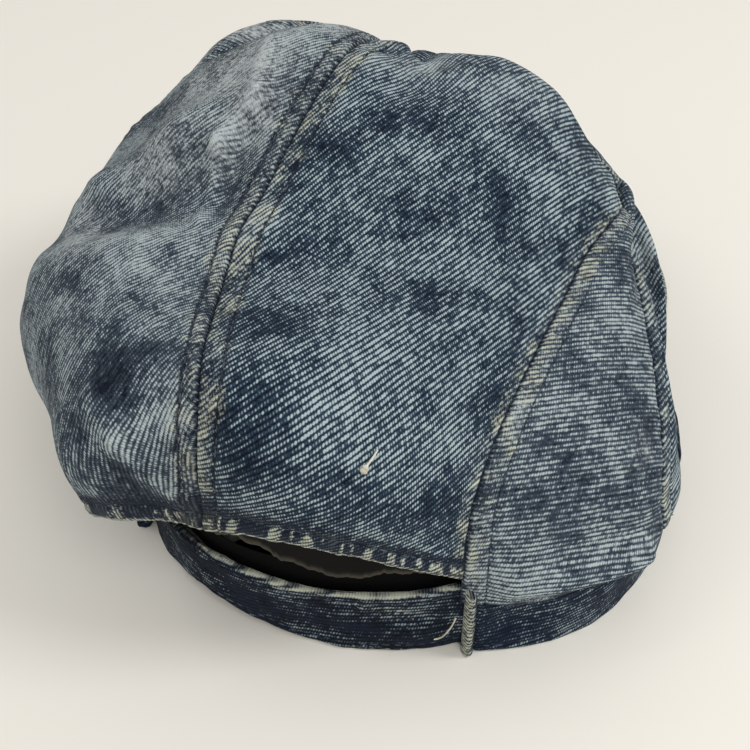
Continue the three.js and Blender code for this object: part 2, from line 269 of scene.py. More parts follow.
def ripple(u, v, size, seed):
    """A smooth random height from -1 to 1, with bumps about as wide as size."""
    x, y = u / size, v / size
    i, j = np.floor(x), np.floor(y)
    x, y = x - i, y - j
    x, y = x * x * (3 - 2 * x), y * y * (3 - 2 * y)

    def corner(a, b):
        value = np.sin((i + a) * 127.1 + (j + b) * 311.7 + seed * 74.7) * 43758.5453
        return 2 * (value - np.floor(value)) - 1

    low = corner(0, 0) * (1 - x) + corner(1, 0) * x
    high = corner(0, 1) * (1 - x) + corner(1, 1) * x
    return low * (1 - y) + high * y


def bump(distance, place, width):
    """1 at a place, falling off smoothly to both sides of it."""
    return np.exp(-(((distance - place) / width) ** 2))


def plateau(distance, width, power=4):
    """About 1 up to a distance, and 0 beyond it."""
    return np.exp(-((distance / width) ** power))


def crown_point(around, along, rise, narrowest=0):
    """A point of the crown, this far above its smooth outer face, with every fold at least this wide."""
    out = stands_out(around, along) + rise
    for start, end, width, height, _ in FOLDS.values():
        if width >= narrowest:
            out = out + height * fold_reach(around, along, start, end, width)
    sag = np.interp(around, SAG_AT, SAG) * bump(along, SAG_MIDDLE, SAG_SPREAD)
    sag = sag * (1 - bump(along, 0, SAG_START))
    out = out + SAG_OUTWARDS * sag
    point = cloth_point(around, along) + cloth_normal(around, along) * out[..., None]
    point[..., 2] -= sag
    return point


def opening_edge(around, number=0):
    """The share of the length where the cloth of a gore begins, which is 0 away from the back opening."""
    if number >= len(OPENED_GORES):
        return np.zeros(around.shape)
    return np.where(around < len(OPENED_GORES), np.interp(around, OPENING_AT, OPENING_CUT), 0)


# What lies beside each gore's left and right seam, seen from outside with the rim down: the distance of
# the topstitching in millimetres, or None where the allowance is turned the other way, how far the
# puckers reach, and how strongly washing has bleached them.
SEAM_SIDES = {
    "crown_back_left": ((5.0, 5.5, 0.5), (4.2, 6.0, 0.53)),
    "crown_back_center": ((5.6, 6.8, 0.54), (None, 4.2, 0.56)),
    "crown_back_right": ((6.0, 5.6, 0.62), (None, 2.0, 0.45)),
    "crown_side_right": ((6.0, 5.0, 0.55), (None, 3.0, 0.4)),
    "crown_front_right": ((6.0, 6.0, 0.6), (None, 3.0, 0.4)),
    "crown_front_center": ((6.0, 6.0, 0.6), (None, 3.0, 0.4)),
    "crown_front_left": ((6.0, 6.0, 0.6), (None, 3.0, 0.4)),
    "crown_side_left": ((6.0, 6.0, 0.6), (5.0, 5.5, 0.5)),
}
SEAM_CREASE = 0.5  # half the width of the dip into a seam
GROOVE = 0.45  # half the width of the groove under a row of stitching, and its depth
HEM_STITCH = 3.5  # from the hem's lower edge


def seam_look(distance, along_mm, side, seed):
    """The rise, bleaching, dark dye and felting beside a seam, with its dip and its stitched groove."""
    stitch, reach, strength = side
    wave = ripple(distance * 0.4, along_mm, 2.6, seed) + 0.5 * ripple(distance * 0.8, along_mm, 6, seed + 1)
    crease = bump(distance, 0, SEAM_CREASE)
    zone = (1 - crease) / (1 + np.exp((distance - reach - 0.8 * wave) / 0.7))
    pucker = ripple(distance * 0.35, along_mm, 1.9, seed + 2)
    rise = -0.6 * crease + (0.28 * np.clip(wave, -1.2, 1.2) + 0.2 * pucker) * zone
    ink = 0.75 * crease
    if stitch:
        rise += 0.2 * zone - GROOVE * bump(distance, stitch, GROOVE)
        ink += 0.55 * bump(distance, stitch, 0.5)
    bleach = zone * np.clip(strength - 0.12 + 0.28 * wave, 0, 1)
    ink += zone * np.clip(0.92 - strength - 0.28 * wave, 0, 1)
    return rise, bleach, ink, 0.25 * zone


# Where the columns of faces lie beside a seam, in millimetres from it, and which of them a gore that the
# photograph hides does with.
BESIDE_SEAM = np.array([0, 0.3, 0.6, 1, 1.5, 2.2, 3, 3.8, 4.4, 4.8, 5.2, 5.6, 6, 6.4, 6.8, 7.4, 8.2, 9.2])
BESIDE_HIDDEN_SEAM = BESIDE_SEAM[[0, 2, 4, 6, 8, 10, 12, 14, 16, 17]]
FINE_FROM = 60  # a gore with more columns than this is a fine one
FINE_ROWS = 190
HIDDEN_ROWS = 100


def gore_columns(width, columns):
    """Places across a gore from 0 to 1, close together beside the seams, for each row's width."""
    near = BESIDE_SEAM if columns > FINE_FROM else BESIDE_HIDDEN_SEAM
    half = width / 2
    squeeze = np.minimum(1, half * 0.7 / near[-1])
    left = near[None, :] * squeeze[:, None]
    middle = columns - 2 * len(near) + 1
    shares = np.linspace(0, 1, middle + 2)[1:-1]
    inner = left[:, -1:] + (width[:, None] - 2 * left[:, -1:]) * shares[None, :]
    places = np.concatenate([left, inner, (width[:, None] - left)[:, ::-1]], axis=1)
    return places / width[:, None]


def run_along(points):
    """The distance along each row of points from its first one."""
    gaps = np.linalg.norm(np.diff(points, axis=-2), axis=-1)
    return np.concatenate([np.zeros(gaps.shape[:-1] + (1,)), np.cumsum(gaps, axis=-1)], axis=-1)


def in_scene(name, data):
    """An object of this name in the scene, with a mesh, a lamp or a camera."""
    made = bpy.data.objects.new(name, data)
    bpy.context.scene.collection.objects.link(made)
    return made


def tube_mesh(name, outer, inner, coordinates, attributes):
    """A closed shell from two grids of points, rows by columns, with a metric map for the cloth."""
    rows, columns = outer.shape[:2]
    ring = np.concatenate([outer, inner[:, ::-1]], axis=1)
    points = ring.reshape(-1, 3) * MM
    size = 2 * columns
    faces = []
    for j in range(rows - 1):
        a = j * size + np.arange(size)
        b = j * size + (np.arange(size) + 1) % size
        faces.append(np.stack([a, b, b + size, a + size], axis=1))
    for j, flip in ((0, True), (rows - 1, False)):
        a = j * size + np.arange(columns - 1)
        b = j * size + size - 1 - np.arange(columns - 1)
        cap = np.stack([a, a + 1, b - 1, b], axis=1)
        faces.append(cap[:, ::-1] if flip else cap)
    faces = np.concatenate(faces)
    mesh = bpy.data.meshes.new(name)
    mesh.vertices.add(len(points))
    mesh.vertices.foreach_set("co", points.astype(np.float32).ravel())
    mesh.loops.add(faces.size)
    mesh.loops.foreach_set("vertex_index", faces.astype(np.int32).ravel())
    mesh.polygons.add(len(faces))
    mesh.polygons.foreach_set("loop_start", np.arange(0, faces.size, 4, dtype=np.int32))
    mesh.polygons.foreach_set("use_smooth", np.ones(len(faces), dtype=bool))
    mesh.update(calc_edges=True)
    mesh.validate()
    both = np.concatenate([coordinates, coordinates[:, ::-1]], axis=1).reshape(-1, 2) * MM
    layer = mesh.uv_layers.new(name="cloth")
    layer.data.foreach_set("uv", both[faces.ravel()].astype(np.float32).ravel())
    for key, values in attributes.items():
        both = np.concatenate([values, values[:, ::-1]], axis=1)
        made = mesh.attributes.new(key, "FLOAT", "POINT")
        made.data.foreach_set("value", both.astype(np.float32).ravel())
    return in_scene(name, mesh)


def on_grain(u, v, lean):
    """Turns a map of across and along into one whose first axis runs with the twill lines."""
    cosine, sine = math.cos(math.radians(lean)), math.sin(math.radians(lean))
    return np.stack([u * cosine + v * sine, v * cosine - u * sine], axis=-1)


FLATTENING_STEPS = 25
PATTERN_ROWS = 33
PATTERN_COLUMNS = 13


def lay_flat(points):
    """Lays a grid on curved cloth out flat, with each small piece turned but hardly stretched."""
    rows, columns = points.shape[:2]
    place = np.arange(rows * columns).reshape(rows, columns)
    a, b = place[:-1, :-1].ravel(), place[:-1, 1:].ravel()
    c, d = place[1:, 1:].ravel(), place[1:, :-1].ravel()
    triangles = (a, b, c), (a, c, d), (a, b, d), (b, c, d)
    corners = np.concatenate([np.stack(triangle, axis=1) for triangle in triangles])
    solid = points.reshape(-1, 3)[corners]
    first, second = solid[:, 1] - solid[:, 0], solid[:, 2] - solid[:, 0]
    x = first / np.linalg.norm(first, axis=1, keepdims=True)
    normal = np.cross(first, second)
    y = np.cross(normal / np.linalg.norm(normal, axis=1, keepdims=True), x)
    flat = np.zeros((len(corners), 3, 2))
    flat[:, 1, 0] = (first * x).sum(axis=1)
    flat[:, 2, 0] = (second * x).sum(axis=1)
    flat[:, 2, 1] = (second * y).sum(axis=1)
    sides = []
    stiffness = np.zeros((rows * columns, rows * columns))
    for i, j, k in ((0, 1, 2), (1, 2, 0), (2, 0, 1)):
        p, q = flat[:, j] - flat[:, i], flat[:, k] - flat[:, i]
        weight = (p * q).sum(axis=1) / np.abs(p[:, 0] * q[:, 1] - p[:, 1] * q[:, 0])
        sides.append((corners[:, j], corners[:, k], weight, flat[:, j] - flat[:, k]))
        for m, n, sign in ((j, k, -1), (k, j, -1), (j, j, 1), (k, k, 1)):
            np.add.at(stiffness, (corners[:, m], corners[:, n]), sign * weight)
    stiffness[0, 0] += 1
    inverse = np.linalg.inv(stiffness)
    across = run_along(points)
    middle = columns // 2
    up = run_along(points[:, middle])[:, None] + 0 * across
    laid = np.stack([across - across[:, middle : middle + 1], up], axis=-1).reshape(-1, 2)
    for _ in range(FLATTENING_STEPS):
        same = cross = 0
        for j, k, weight, side in sides:
            now = laid[j] - laid[k]
            same = same + weight * (now * side).sum(axis=1)
            cross = cross + weight * (now[:, 1] * side[:, 0] - now[:, 0] * side[:, 1])
        size = np.hypot(same, cross)
        cosine, sine = same / size, cross / size
        pull = np.zeros_like(laid)
        for j, k, weight, side in sides:
            turned_x = cosine * side[:, 0] - sine * side[:, 1]
            turned_y = sine * side[:, 0] + cosine * side[:, 1]
            turned = np.stack([turned_x, turned_y], axis=1)
            np.add.at(pull, j, weight[:, None] * turned)
            np.add.at(pull, k, -weight[:, None] * turned)
        laid = inverse @ pull
    laid = laid.reshape(rows, columns, 2)
    start = laid[0, middle]
    way = laid[rows * 3 // 5, middle] - start
    way = way / np.linalg.norm(way)
    laid = laid - start
    return np.stack([laid @ np.array([way[1], -way[0]]), laid @ way], axis=-1)


def between(p0, p1, p2, p3, x):
    """A smooth curve through four points in a row, read at a share x of the way from p1 to p2."""
    return p1 + 0.5 * x * (p2 - p0 + x * (2 * p0 - 5 * p1 + 4 * p2 - p3 + x * (3 * (p1 - p2) + p3 - p0)))


def smooth_between(rows, place):
    """The rows of a table, read at places between them on a smooth curve."""
    i = np.clip(np.floor(place).astype(int), 0, len(rows) - 2)
    before, after = np.maximum(i - 1, 0), np.minimum(i + 2, len(rows) - 1)
    return between(rows[before], rows[i], rows[i + 1], rows[after], (place - i)[:, None, None])


def flat_pattern_of(number, across_share, up_share):
    """The flat cloth coordinates of places on a gore, in millimetres."""
    shares, heights = np.meshgrid(np.linspace(0, 1, PATTERN_COLUMNS), np.linspace(0, 1, PATTERN_ROWS))
    around = number + np.clip(shares, 0.0001, 0.9999)
    edge = opening_edge(around, number)
    along = edge + heights * (GORE_TIP - edge)
    laid = lay_flat(crown_point(around, along, np.zeros(around.shape), narrowest=5))
    out = np.zeros(across_share.shape + (2,))
    last = PATTERN_COLUMNS - 1
    for j in range(across_share.shape[0]):
        exact = smooth_between(laid, up_share[j] * (PATTERN_ROWS - 1))
        place = across_share[j] * last
        i = np.arange(len(place))
        k = np.clip(np.floor(place).astype(int), 0, last - 1)
        before, after = np.maximum(k - 1, 0), np.minimum(k + 2, last)
        out[j] = between(
            exact[i, before], exact[i, k], exact[i, k + 1], exact[i, after], (place - k)[:, None]
        )
    return out


def line_at(points, distance, place):
    """The line across a grid of points where a distance that grows along each row has a value."""
    line = []
    for row, away in zip(points, distance):
        if away[0] <= place <= away[-1]:
            line.append([np.interp(place, away, row[:, k]) for k in range(3)])
    return np.array(line)


# The rows of faces over the hem of the back opening, in millimetres from its edge.
HEM_STEPS = np.array([0, 0.4, 0.9, 1.5, 2.2, 2.9, 3.3, 3.7, 4.2, 5.0, 6.0, 7.2])
HEM_ZONE = 6.2  # how far up from its edge the hem shows
HEM_ROW = 2.3  # height of the row of bleached strokes across the hem


def gore_grid(number, columns):
    """Where a gore's points lie across it, round the cap and along it, and where its cloth begins."""
    rows = FINE_ROWS if columns > FINE_FROM else HIDDEN_ROWS
    low = opening_edge(np.array([number + 0.5]), number)[0] + HEM_STEPS / GORE_LENGTH
    rough_along = np.concatenate([low[:-1], np.linspace(low[-1], GORE_TIP, rows)])
    rough_around = number + np.linspace(0, 1, PATTERN_ROWS) * 0.9998 + 0.0001
    rough_around, rough_along = np.meshgrid(rough_around, rough_along)
    surface = crown_point(rough_around, rough_along, np.zeros(rough_around.shape))
    places = gore_columns(run_along(surface)[:, -1], columns)
    around = number + np.clip(places, 0.00005, 0.99995)
    edge = opening_edge(around, number)
    hem = np.concatenate([HEM_STEPS[:-1], np.full(rows, HEM_STEPS[-1])]) / GORE_LENGTH
    body = np.concatenate([np.zeros(len(HEM_STEPS) - 1), np.linspace(0, 1, rows)])
    start = edge + hem[:, None]
    return places, around, start + (GORE_TIP - start) * body[:, None], edge


def hem_look(across, up, from_hem, hem_on, seed):
    """The rise, bleaching and dark dye of the hem, and the worn line along its edge."""
    stroke = ripple(across, up * 0.1, 1.2, seed + 5) + 0.35 * ripple(across, up, 6.5, seed + 6)
    zone = hem_on * plateau(from_hem, HEM_ZONE, 6)
    folded = GROOVE / (1 + np.exp((from_hem - HEM_STITCH) / 0.4))
    rise = hem_on * (folded - GROOVE * bump(from_hem, HEM_STITCH, GROOVE))
    rise = rise + 0.3 * stroke * zone - 0.6 * bump(from_hem, 0, SEAM_CREASE)
    edge_line = hem_on * plateau(from_hem, 0.8)
    row = np.clip(2.4 * stroke + 0.5, 0, 1) * bump(from_hem, HEM_ROW, 1.5)
    ink = zone * np.clip(1.0 - row, 0, 1) * (1 - plateau(from_hem, 0.9))
    return rise, hem_on * row + 1.3 * edge_line, ink, edge_line


def wash(around, along, worn_and_shaded, felted):
    """Adds fold lightening, painted shade in fold hollows and the patches to a gore's wear and felting."""
    # Below 0 a fold darkens its hollow: painted shade.
    for start, end, width, _, wear_and_shade in FOLDS.values():
        worn_and_shaded = worn_and_shaded + wear_and_shade * fold_reach(around, along, start, end, width * 0.7)
    # The patches are part wash tone and part painted light and shade.
    for place_around, place_along, radius, wear_and_shade, felting in PATCHES:
        place = (place_around, place_along)
        reach = fold_reach(around, along, place, (place_around + 0.01, place_along), radius)
        worn_and_shaded = worn_and_shaded + wear_and_shade * reach
        felted = np.maximum(felted, felting * reach)
    return worn_and_shaded, felted


PATTERN_STEP = 331.0  # how far apart on one map the gores are laid, so that no two have the same clouds
SEED_STEP = 7  # between the puckers of one gore and those of the next
crown_lines = []  # lines of stitching on the crown


def make_gore(number, name, gore):
    places, around, along, edge = gore_grid(number, gore["columns"])
    base = crown_point(around, along, np.zeros(around.shape))
    from_left = run_along(base)
    from_right = from_left[:, -1:] - from_left
    across = from_left - from_left[:, -1:] / 2
    middle = around.shape[1] // 2
    height = run_along(base[:, middle])
    lifted = (edge - edge[:, middle : middle + 1]) * GORE_LENGTH
    up = height[:, None] + lifted * np.exp(-height / 60)[:, None]
    from_hem = (along - edge) * GORE_LENGTH
    hem_on = np.clip(edge / 0.03, 0, 1)

    left, right = SEAM_SIDES[name]
    seed = 11 + number * SEED_STEP
    left_rise, left_bleach, left_ink, left_felt = seam_look(from_left, up, left, seed)
    right_rise, right_bleach, right_ink, right_felt = seam_look(from_right, up, right, seed + 40)
    hem_rise, hem_bleach, hem_ink, edge_line = hem_look(across, up, from_hem, hem_on, seed)
    waves = 0.35 * ripple(across, up, 14, seed + 3) + 0.16 * ripple(across, up, 6, seed + 4)
    outer = crown_point(around, along, left_rise + right_rise + waves + hem_rise)
    inner = crown_point(around, along, 0.6 * bump(from_hem, 0, SEAM_CREASE) - CLOTH_THICKNESS)
    if number >= len(OPENED_GORES):
        outer[0, :, 2] = BAND_HEIGHT
        inner[0, :, 2] = BAND_HEIGHT

    felted = gore["felted"] + (1 - gore["felted"]) * np.maximum(left_felt, right_felt)
    worn_and_shaded, felted = wash(around, along, 0.9 * hem_on * bump(from_hem, 0, 0.7), felted)
    bleach = left_bleach + right_bleach + hem_bleach
    ink = (left_ink + right_ink) * (1 - edge_line) + hem_ink
    above = 3  # rows of faces below the first stitch
    if left[0]:
        crown_lines.append(line_at(outer[above:], from_left[above:], left[0]))
    if right[0]:
        crown_lines.append(line_at(outer[above:, ::-1], from_right[above:, ::-1], right[0]))
    if number < len(OPENED_GORES):
        opened = edge[0] > 0.02
        crown_lines.append(line_at(outer[:, opened].transpose(1, 0, 2), from_hem[:, opened].T, HEM_STITCH))

    grain = flat_pattern_of(number, places, (along - edge) / (GORE_TIP - edge))
    piece = tube_mesh(
        name.replace("crown", "gore"),
        outer,
        inner,
        on_grain(grain[..., 0], grain[..., 1], gore["lean"]) * gore["tight"] + number * PATTERN_STEP,
        {"worn_and_shaded": worn_and_shaded, "bleach": np.clip(bleach, 0, 1), "ink": np.clip(ink, 0, 1), "felted": felted},
    )
    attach(piece, "root")
    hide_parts(name)
    return piece


gores = [make_gore(number, name, gore) for number, (name, gore) in enumerate(GORES.items())]


def linear(code):
    """An sRGB hex colour as linear red, green, blue and alpha."""
    parts = [int(code[i : i + 2], 16) / 255 for i in (1, 3, 5)]
    return (*[p / 12.92 if p <= 0.04045 else ((p + 0.055) / 1.055) ** 2.4 for p in parts], 1.0)


def add(tree, kind, links=None, **settings):
    """Adds a node with its settings, and gives its sockets numbers, colours or other nodes' outputs."""
    made = tree.nodes.new(kind)
    for key, value in settings.items():
        setattr(made, key, value)
    for socket, value in (links or {}).items():
        if isinstance(value, bpy.types.Node):
            value = next(output for output in value.outputs if output.enabled)
        if isinstance(value, bpy.types.NodeSocket):
            tree.links.new(value, made.inputs[socket])
        else:
            made.inputs[socket].default_value = value
    return made


def empty_material(name):
    """A new material and its tree of nodes, still empty."""
    material = bpy.data.materials.new(name)
    material.use_nodes = True
    material.node_tree.nodes.clear()
    return material, material.node_tree


# Stone-washed denim twill: indigo warp worn back to pale cores in slanting lines, with the white weft
# showing as short flecks between them, and cloudy patches where the stones rubbed hardest. The eye sees
# dull blue with cream puckers at each seam and no shine.
TWILL_PERIOD = 1.25  # millimetres from line to line
FLECK_LENGTH = 0.78
FLECK_STEP = 0.72  # how far the flecks of one line lie from those of the next, in flecks
WHOLE_TURN = 2 * math.pi
QUARTER_BACK = -math.pi / 2


def washed_twill(name, ink="#0c1422", mid="#3a4a59", pale="#b2c0c2", light=0.0, clouds=1.0):
    material, tree = empty_material(name)
    uv = add(tree, "ShaderNodeUVMap", uv_map="cloth")
    cloth = add(tree, "ShaderNodeVectorMath", {0: uv, "Scale": 1 / MM}, operation="SCALE")
    parts = add(tree, "ShaderNodeSeparateXYZ", {0: cloth})
    wander = add(tree, "ShaderNodeTexNoise", {"Vector": cloth, "Scale": 0.07, "Detail": 3.0})
    sway = add(tree, "ShaderNodeMath", {0: wander, 1: -0.5}, operation="ADD")
    across = add(tree, "ShaderNodeMath", {0: sway, 1: 0.8, 2: parts.outputs[1]}, operation="MULTIPLY_ADD")
    in_lines = add(tree, "ShaderNodeMath", {0: across, 1: 1 / TWILL_PERIOD}, operation="MULTIPLY")
    line_number = add(tree, "ShaderNodeMath", {0: in_lines}, operation="FLOOR")
    turned = {0: in_lines, 1: -WHOLE_TURN, 2: QUARTER_BACK}
    turned = add(tree, "ShaderNodeMath", turned, operation="MULTIPLY_ADD")
    line = add(tree, "ShaderNodeMath", {0: turned}, operation="SINE")
    start = add(tree, "ShaderNodeMath", {0: in_lines, 1: -FLECK_STEP}, operation="MULTIPLY")
    in_flecks = {0: parts.outputs[0], 1: 1 / FLECK_LENGTH, 2: start}
    in_flecks = add(tree, "ShaderNodeMath", in_flecks, operation="MULTIPLY_ADD")
    fleck_number = add(tree, "ShaderNodeMath", {0: in_flecks}, operation="FLOOR")
    turned = {0: in_flecks, 1: WHOLE_TURN, 2: QUARTER_BACK}
    turned = add(tree, "ShaderNodeMath", turned, operation="MULTIPLY_ADD")
    fleck = add(tree, "ShaderNodeMath", {0: turned}, operation="SINE")
    spot = add(tree, "ShaderNodeCombineXYZ", {0: fleck_number, 1: line_number})
    chance = add(tree, "ShaderNodeTexWhiteNoise", {"Vector": spot}, noise_dimensions="2D")
    slub_map = add(tree, "ShaderNodeVectorMath", {0: cloth, 1: (0.2, 0.6, 1.0)}, operation="MULTIPLY")
    slub = add(tree, "ShaderNodeTexNoise", {"Vector": slub_map, "Scale": 1.0, "Detail": 3.0})
    fuzz = add(tree, "ShaderNodeTexNoise", {"Vector": cloth, "Scale": 2.2, "Detail": 2.0})
    nap = add(tree, "ShaderNodeTexNoise", {"Vector": cloth, "Scale": 0.75, "Detail": 3.0, "Roughness": 0.7})
    cloud = {"Vector": cloth, "Scale": 0.05, "Detail": 5.0, "Roughness": 0.62}
    cloud = add(tree, "ShaderNodeTexNoise", cloud)
    worn_and_shaded = add(tree, "ShaderNodeAttribute", attribute_name="worn_and_shaded").outputs["Fac"]
    bleach = add(tree, "ShaderNodeAttribute", attribute_name="bleach").outputs["Fac"]
    dark = add(tree, "ShaderNodeAttribute", attribute_name="ink").outputs["Fac"]
    felted = add(tree, "ShaderNodeAttribute", attribute_name="felted").outputs["Fac"]

    # Light shows on the raised side of each line, broken into flecks of uneven strength.
    ridge = add(tree, "ShaderNodeMath", {0: line, 1: 0.5, 2: 0.5}, operation="MULTIPLY_ADD")
    bead = add(tree, "ShaderNodeMath", {0: fleck, 1: 0.3, 2: 0.66}, operation="MULTIPLY_ADD")
    beads = add(tree, "ShaderNodeMath", {0: ridge, 1: bead}, operation="MULTIPLY")
    strength = add(tree, "ShaderNodeMath", {0: chance, 1: 0.95, 2: 0.45}, operation="MULTIPLY_ADD")
    weave = add(tree, "ShaderNodeMath", {0: beads, 1: strength}, operation="MULTIPLY")
    slubs = add(tree, "ShaderNodeMath", {0: slub, 1: 1.9, 2: -0.95}, operation="MULTIPLY_ADD")
    fuzzes = add(tree, "ShaderNodeMath", {0: fuzz, 1: 0.7, 2: -0.35}, operation="MULTIPLY_ADD")
    patch = {0: cloud, 1: 2.9 * clouds, 2: 1.0 + light - 1.45 * clouds}
    patch = add(tree, "ShaderNodeMath", patch, operation="MULTIPLY_ADD")
    # The wear attribute lightens the cloth, and below 0 darkens it; along the folds and in the patches that
    # is partly painted light and shade.
    patch = add(tree, "ShaderNodeMath", {0: worn_and_shaded, 1: 0.5, 2: patch}, operation="MULTIPLY_ADD")
    patch = add(tree, "ShaderNodeMath", {0: patch, 1: slubs}, operation="ADD")
    washed = add(tree, "ShaderNodeMath", {0: weave, 1: patch}, operation="MULTIPLY")
    haze = add(tree, "ShaderNodeMath", {0: patch, 1: 0.16, 2: -0.08}, operation="MULTIPLY_ADD")
    shade = add(tree, "ShaderNodeMath", {0: washed, 1: haze}, operation="ADD")
    shade = add(tree, "ShaderNodeMath", {0: shade, 1: fuzzes}, operation="ADD")
    # Where the stones rubbed longest the nap has felted over the twill, and only soft mottles are left.
    naps = add(tree, "ShaderNodeMath", {0: nap, 1: 1.5, 2: -0.6}, operation="MULTIPLY_ADD")
    naps = add(tree, "ShaderNodeMath", {0: patch, 1: 0.35, 2: naps}, operation="MULTIPLY_ADD")
    naps = add(tree, "ShaderNodeMath", {0: weave, 1: 0.2, 2: naps}, operation="MULTIPLY_ADD")
    shade = add(tree, "ShaderNodeMix", {0: felted, 2: shade, 3: naps}, data_type="FLOAT")
    ramp = add(tree, "ShaderNodeValToRGB", {"Fac": shade})
    ramp.color_ramp.elements[0].position = 0.06
    ramp.color_ramp.elements[0].color = linear(ink)
    ramp.color_ramp.elements[1].position = 0.85
    ramp.color_ramp.elements[1].color = linear(pale)
    middle = ramp.color_ramp.elements.new(0.43)
    middle.color = linear(mid)

    greyness = add(tree, "ShaderNodeMath", {0: felted, 1: -0.7, 2: 1.2}, operation="MULTIPLY_ADD")
    greyed = add(tree, "ShaderNodeHueSaturation", {"Saturation": greyness, "Color": ramp})

    # Puckers beside the seams: cream where they stand proud, navy between.
    blots = add(tree, "ShaderNodeTexNoise", {"Vector": cloth, "Scale": 0.8, "Detail": 3.0, "Roughness": 0.75})
    blot = add(tree, "ShaderNodeMath", {0: blots, 1: 7.0, 2: -5.0}, operation="MULTIPLY_ADD")
    creamed = {0: bleach, 1: 3.6, 2: blot}
    creamed = add(tree, "ShaderNodeMath", creamed, operation="MULTIPLY_ADD", use_clamp=True)
    cream_share = add(tree, "ShaderNodeMath", {0: creamed, 1: 0.85}, operation="MULTIPLY")
    blot = add(tree, "ShaderNodeMath", {0: blots, 1: -7.0, 2: 2.0}, operation="MULTIPLY_ADD")
    inked = {0: dark, 1: 3.6, 2: blot}
    inked = add(tree, "ShaderNodeMath", inked, operation="MULTIPLY_ADD", use_clamp=True)
    contrast = add(tree, "ShaderNodeMath", {0: line, 1: 0.34, 2: 0.5}, operation="MULTIPLY_ADD")
    contrast = add(tree, "ShaderNodeMath", {0: fleck, 1: 0.12, 2: contrast}, operation="MULTIPLY_ADD")
    contrast = add(tree, "ShaderNodeMath", {0: slubs, 1: 0.7, 2: contrast}, operation="MULTIPLY_ADD")
    contrast = add(tree, "ShaderNodeMath", {0: fuzzes, 1: 1.2, 2: contrast}, operation="MULTIPLY_ADD")
    cream = add(tree, "ShaderNodeValToRGB", {"Fac": contrast})
    cream.color_ramp.elements[0].position = 0.1
    cream.color_ramp.elements[0].color = linear("#222d40")
    cream.color_ramp.elements[1].position = 0.85
    cream.color_ramp.elements[1].color = linear("#cccfba")
    seamed = add(tree, "ShaderNodeMix", {0: cream_share, 6: greyed, 7: cream}, data_type="RGBA")
    deep = add(tree, "ShaderNodeMath", {0: inked, 1: 0.85}, operation="MULTIPLY")
    colour = {0: deep, 6: seamed.outputs[2], 7: linear("#141c2c")}
    colour = add(tree, "ShaderNodeMix", colour, data_type="RGBA")
    rough = add(tree, "ShaderNodeMath", {0: fuzz, 1: 0.16, 2: 0.82}, operation="MULTIPLY_ADD")
    relief = add(tree, "ShaderNodeBump", {"Strength": 0.8, "Distance": 0.0002, "Height": weave})
    finish = add(
        tree,
        "ShaderNodeBsdfPrincipled",
        {
            "Base Color": colour.outputs[2],
            "Roughness": rough,
            "Normal": relief,
            "IOR": 1.45,
            "Specular IOR Level": 0.1,
            "Sheen Weight": 0.03,
            "Sheen Roughness": 0.6,
        },
    )
    add(tree, "ShaderNodeOutputMaterial", {"Surface": finish})
    return material


crown_denim = washed_twill("stone_washed_denim_twill")
for piece in gores:
    piece.data.materials.append(crown_denim)


# THE FACING AND THE LINING AT THE BACK OPENING
# Inside the crown's lower edge runs a raw-edged facing, and behind it hangs the lining, a thin cotton that
# has sunk to the table inside the opening. Both lie in the crown's shadow, and both are coloured near black
# as painted shade, all but the facing's grey raw edge.

FACING_FROM = 0.72
FACING_TO = 1.96
FACING_HEIGHT = 7  # how far it reaches up inside the crown
FACING_INSET = 2.6
FACING_THICKNESS = 0.7

# How far the facing hangs out below the crown's lower edge, by gores round the cap.
FACING_AT = (0.72, 0.9, 1.1, 1.2, 1.3, 1.4, 1.5, 1.6, 1.7, 1.8, 1.96)
FACING_DROP = (0, 2, 3, 5, 8, 10.5, 11, 9.5, 6, 3, 0)

# Across the opening the lining's section: how far inside the rim line, and its height.
LINING_SECTION = ((6.4, 27), (6.8, 18), (10, 9.5), (15, 3.6), (22, 1.4), (30, 1.2), (37, 1.2))
LINING_FROM = 0.72
LINING_SPAN = 1.34
LINING_FALL = 45  # its length from the crown down and in
LINING_THICKNESS = 0.5
OFF_TABLE = 0.2


def plain_cotton(name, dark, pale):
    """Thin plain cotton: matt, near black as painted shade, grey at a raw edge where its wear attribute says
    so.
    """
    material, tree = empty_material(name)
    uv = add(tree, "ShaderNodeUVMap", uv_map="cloth")
    cloth = add(tree, "ShaderNodeVectorMath", {0: uv, "Scale": 1 / MM}, operation="SCALE")
    thread = add(tree, "ShaderNodeTexNoise", {"Vector": cloth, "Scale": 2.5, "Detail": 2.0})
    worn_and_shaded = add(tree, "ShaderNodeAttribute", attribute_name="worn_and_shaded").outputs["Fac"]
    amount = add(tree, "ShaderNodeMath", {0: worn_and_shaded, 1: thread}, operation="MULTIPLY")
    colour = add(tree, "ShaderNodeMix", {0: amount, 6: linear(dark), 7: linear(pale)}, data_type="RGBA")
    relief = add(tree, "ShaderNodeBump", {"Strength": 0.6, "Distance": 0.0002, "Height": thread})
    finish = add(
        tree,
        "ShaderNodeBsdfPrincipled",
        {"Base Color": colour.outputs[2], "Roughness": 0.95, "Normal": relief, "Specular IOR Level": 0.1},
    )
    add(tree, "ShaderNodeOutputMaterial", {"Surface": finish})
    return material


def rim_point(around, height, inset):
    """A point of the line that the band and the gores share, moved inwards by an inset."""
    zero = np.zeros(np.shape(around))
    point = cloth_point(around, zero)
    outward = cloth_point(around + 0.001, zero) - cloth_point(around - 0.001, zero)
    outward = np.stack([outward[..., 1], -outward[..., 0], zero], axis=-1)
    outward /= np.linalg.norm(outward, axis=-1, keepdims=True)
    point = point + outward * (stands_out(around, zero) - inset)[..., None]
    point[..., 2] = height
    return point


